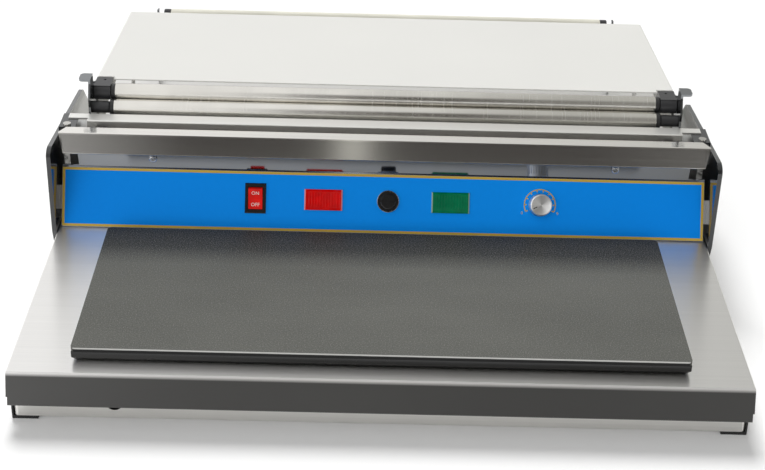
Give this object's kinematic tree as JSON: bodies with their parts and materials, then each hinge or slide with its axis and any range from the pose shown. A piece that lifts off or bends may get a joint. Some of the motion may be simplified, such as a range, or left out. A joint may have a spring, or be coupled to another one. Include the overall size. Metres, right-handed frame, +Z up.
{
  "type": "film wrapping hot plate",
  "caption": "Table-top film wrapping machine: stainless deck, heated sealing plate, leaning control panel, hot wire film cutter, pinch rollers, tilted top plate and rear film roller.",
  "frame": {"origin": "on the floor under the middle of the machine's bounding box", "axes": "+Z up, the front with the hot plate faces -Y, +X to the right as seen from the front"},
  "size_m": [0.608, 0.6214, 0.164],
  "materials": {
    "deck_steel": "brushed",
    "pan_steel": "brushed",
    "foot_rubber": "matt",
    "screw_steel": "bright",
    "gland_nylon": "matt",
    "plate_aluminium": "machined",
    "plate_coating": "fine speckled non-stick",
    "frame_black": "satin",
    "mica": "matt",
    "heater_felt": "felt",
    "panel_steel": "brushed",
    "panel_blue": "printed, with a gold border",
    "spacer_steel": "plain",
    "black_plastic": "satin",
    "rocker_red": "translucent",
    "lens_red": "clear, ribbed",
    "lens_green": "clear, ribbed",
    "fuse_glass": "clear",
    "knob_silver": "satin, fluted",
    "shaft_steel": "bright",
    "pot_metal": "plain",
    "board_green": "board",
    "core_steel": "laminated",
    "coil_tape": "taped",
    "terminal_white": "matt",
    "bar_steel": "brushed",
    "insulator_board": "matt",
    "ceramic": "glazed",
    "wire_metal": "bright",
    "spring_steel": "bright",
    "terminal_brass": "plain",
    "rest_steel": "brushed",
    "cover_steel": "brushed",
    "side_black": "satin",
    "bracket_steel": "plain",
    "roller_metal": "polished",
    "plug_black": "matt",
    "block_black": "satin",
    "top_white": "satin",
    "rear_roller_white": "satin"
  },
  "bodies": {
    "frame": {"base_deck": "deck_steel", "base_pan": "pan_steel", "corner_feet": "foot_rubber", "base_screws": "screw_steel", "cable_gland": "gland_nylon", "hot_plate": "plate_aluminium", "hot_plate_cover": "plate_coating", "hot_plate_frame": "frame_black", "heater_mat": "mica", "heater_clamp": "panel_steel", "heater_insulation": "heater_felt", "hot_plate_studs": "screw_steel", "control_panel": "panel_steel", "panel_overlay": "panel_blue", "panel_spacers": "spacer_steel", "switch_body": "black_plastic", "heat_lamp_body": "black_plastic", "heat_lamp_lens": "lens_red", "cutter_lamp_body": "black_plastic", "cutter_lamp_lens": "lens_green", "fuse_holder": "black_plastic", "regulator_pot": "pot_metal", "regulator_board": "board_green", "transformer_core": "core_steel", "transformer_coil": "coil_tape", "terminal_block": "terminal_white", "cutter_bar": "bar_steel", "cutter_insulator": "insulator_board", "wire_posts": "ceramic", "cutter_wire": "wire_metal", "cutter_springs": "spring_steel", "spring_anchors": "terminal_brass", "film_rest": "rest_steel", "rear_cover": "cover_steel", "rest_bracket_left": "side_black", "rest_bracket_right": "side_black", "side_plate_left": "side_black", "side_plate_right": "side_black", "roller_bracket_left": "bracket_steel", "roller_bracket_right": "bracket_steel", "lower_bearings": "block_black", "top_plate": "top_white", "rear_bracket_left": "bracket_steel", "rear_bracket_right": "bracket_steel"},
    "rocker": {"switch_rocker": "rocker_red"},
    "dial": {"regulator_shaft": "shaft_steel", "regulator_knob": "knob_silver"},
    "fuse_carrier": {"fuse_link": "fuse_glass"},
    "fuse_cap_body": {"fuse_cap": "black_plastic"},
    "lower_pinch_roller": {"lower_roller": "roller_metal", "lower_roller_plugs": "plug_black", "lower_roller_stubs": "shaft_steel"},
    "upper_carriage": {"upper_block_left": "block_black", "upper_block_right": "block_black"},
    "upper_pinch_roller": {"upper_roller": "roller_metal", "upper_roller_plugs": "plug_black", "upper_roller_stubs": "shaft_steel"},
    "rear_film_roller": {"rear_roller": "rear_roller_white", "rear_roller_caps": "plug_black", "rear_roller_stubs": "shaft_steel"}
  },
  "joints": [
    {"name": "power_rocker", "type": "hinge", "parent": "frame", "child": "rocker", "pos_m": [-0.1186, -0.05162, 0.07311], "axis": [1, 0, 0], "range_deg": [-24, 0]},
    {"name": "cutter_dial", "type": "hinge", "parent": "frame", "child": "dial", "pos_m": [0.145, -0.05223, 0.07344], "axis": [0, 0.8796, -0.4756], "range_deg": [0, 230]},
    {"name": "fuse_pull", "type": "slide", "parent": "frame", "child": "fuse_carrier", "axis": [0, -0.8796, 0.4756], "range_m": [0, 0.036]},
    {"name": "fuse_cap_turn", "type": "hinge", "parent": "fuse_carrier", "child": "fuse_cap_body", "pos_m": [0.0041, -0.05223, 0.07344], "axis": [0, -0.8796, 0.4756], "range_deg": [0, 90]},
    {"name": "lower_roller_spin", "type": "hinge", "parent": "frame", "child": "lower_pinch_roller", "pos_m": [0, 0.00893, 0.134], "axis": [1, 0, 0], "continuous": true},
    {"name": "upper_roller_lift", "type": "slide", "parent": "frame", "child": "upper_carriage", "axis": [0, 0, 1], "range_m": [0, 0.006]},
    {"name": "upper_roller_spin", "type": "hinge", "parent": "upper_carriage", "child": "upper_pinch_roller", "pos_m": [0, 0.0213, 0.14446], "axis": [1, 0, 0], "continuous": true},
    {"name": "rear_roller_spin", "type": "hinge", "parent": "frame", "child": "rear_film_roller", "pos_m": [0, 0.28492, 0.116], "axis": [1, 0, 0], "continuous": true}
  ]
}
